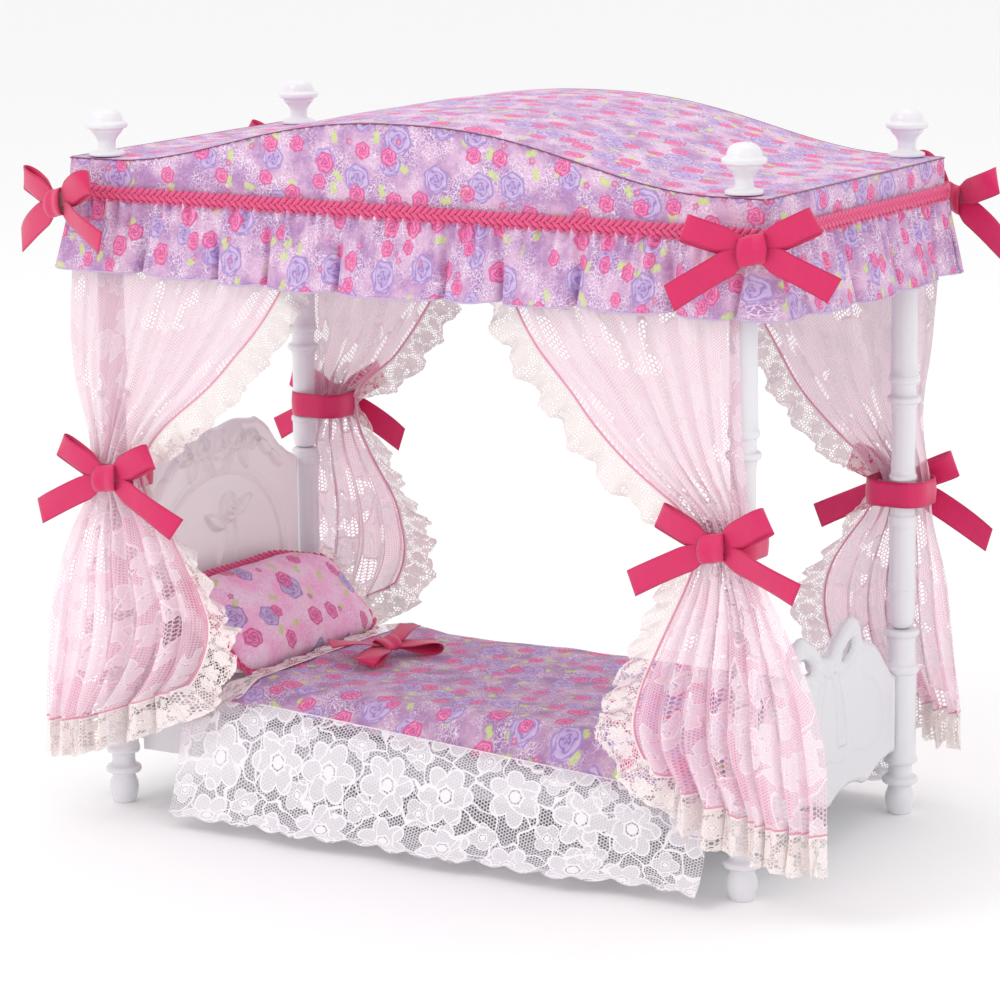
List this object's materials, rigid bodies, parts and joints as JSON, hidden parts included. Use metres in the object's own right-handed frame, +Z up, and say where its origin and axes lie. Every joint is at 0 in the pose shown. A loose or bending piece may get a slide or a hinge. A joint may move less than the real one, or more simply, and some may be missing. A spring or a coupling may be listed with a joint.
{
  "type": "miniature four poster bed",
  "caption": "Doll-size four poster bed with turned posts, arched fabric canopy, tied lace curtains, pillow and lace-edged duvet.",
  "frame": {"origin": "on the floor, under the middle of the bed", "axes": "+X runs along the bed from the headboard to the footboard, +Z is up"},
  "size_m": [0.3268, 0.1875, 0.2498],
  "materials": {
    "white_plastic": "glossy moulded white",
    "print_fabric": "lavender cotton printed with roses",
    "pillow_fabric": "orchid pink cotton printed with roses",
    "curtain_lace": "pale pink net lace",
    "cream_lace": "cream scalloped lace edging",
    "white_lace": "white flower lace",
    "ribbon": "fine ribbed satin ribbon",
    "braid": "fuchsia fishtail braid",
    "ticking": "plain white cotton"
  },
  "bodies": {
    "root": {"bed_deck": "white_plastic", "bed_rail_back": "white_plastic", "bed_rail_front": "white_plastic", "bed_skirt_back": "white_lace", "bed_skirt_front": "white_lace", "canopy_braid": "braid", "canopy_rail_back": "white_plastic", "canopy_rail_foot": "white_plastic", "canopy_rail_front": "white_plastic", "canopy_rail_head": "white_plastic", "canopy_roof": "print_fabric", "corner_bow_foot_back": "ribbon", "corner_bow_foot_front": "ribbon", "corner_bow_head_back": "ribbon", "corner_bow_head_front": "ribbon", "curtain_foot_back": "curtain_lace", "curtain_foot_front": "curtain_lace", "curtain_head_back": "curtain_lace", "curtain_head_front": "curtain_lace", "curtain_tie_foot_back": "ribbon", "curtain_tie_foot_front": "ribbon", "curtain_tie_head_back": "ribbon", "curtain_tie_head_front": "ribbon", "curtain_trim_foot_back": "cream_lace", "curtain_trim_foot_front": "cream_lace", "curtain_trim_head_back": "cream_lace", "curtain_trim_head_front": "cream_lace", "duvet_foot": "print_fabric", "footboard_panel": "white_plastic", "frill_back": "print_fabric", "frill_foot": "print_fabric", "frill_front": "print_fabric", "frill_head": "print_fabric", "headboard_panel": "white_plastic", "mattress": "ticking", "post_lower_foot_back": "white_plastic", "post_lower_foot_front": "white_plastic", "post_lower_head_back": "white_plastic", "post_lower_head_front": "white_plastic", "post_upper_foot_back": "white_plastic", "post_upper_foot_front": "white_plastic", "post_upper_head_back": "white_plastic", "post_upper_head_front": "white_plastic", "valance_back": "print_fabric", "valance_foot": "print_fabric", "valance_front": "print_fabric", "valance_head": "print_fabric"},
    "duvet_turnback": {"duvet_bow": "ribbon", "duvet_head": "print_fabric", "duvet_head_lace": "white_lace"},
    "finial_foot_back_cap": {"finial_foot_back": "white_plastic"},
    "finial_foot_front_cap": {"finial_foot_front": "white_plastic"},
    "finial_head_back_cap": {"finial_head_back": "white_plastic"},
    "finial_head_front_cap": {"finial_head_front": "white_plastic"},
    "pillow_set": {"pillow": "pillow_fabric", "pillow_braid": "braid", "pillow_ruffle_back": "white_lace", "pillow_ruffle_front": "white_lace"}
  },
  "joints": [
    {"name": "finial_foot_back_lift", "type": "slide", "parent": "root", "child": "finial_foot_back_cap", "axis": [0, 0, 1], "range_m": [0, 0.02]},
    {"name": "finial_foot_front_lift", "type": "slide", "parent": "root", "child": "finial_foot_front_cap", "axis": [0, 0, 1], "range_m": [0, 0.02]},
    {"name": "finial_head_back_lift", "type": "slide", "parent": "root", "child": "finial_head_back_cap", "axis": [0, 0, 1], "range_m": [0, 0.02]},
    {"name": "finial_head_front_lift", "type": "slide", "parent": "root", "child": "finial_head_front_cap", "axis": [0, 0, 1], "range_m": [0, 0.02]},
    {"name": "pillow_lift", "type": "slide", "parent": "root", "child": "pillow_set", "axis": [0, 0, 1], "range_m": [0, 0.05]},
    {"name": "duvet_fold", "type": "hinge", "parent": "root", "child": "duvet_turnback", "pos_m": [0, 0, 0.0495], "axis": [0, 1, 0], "range_deg": [0, 55]}
  ]
}
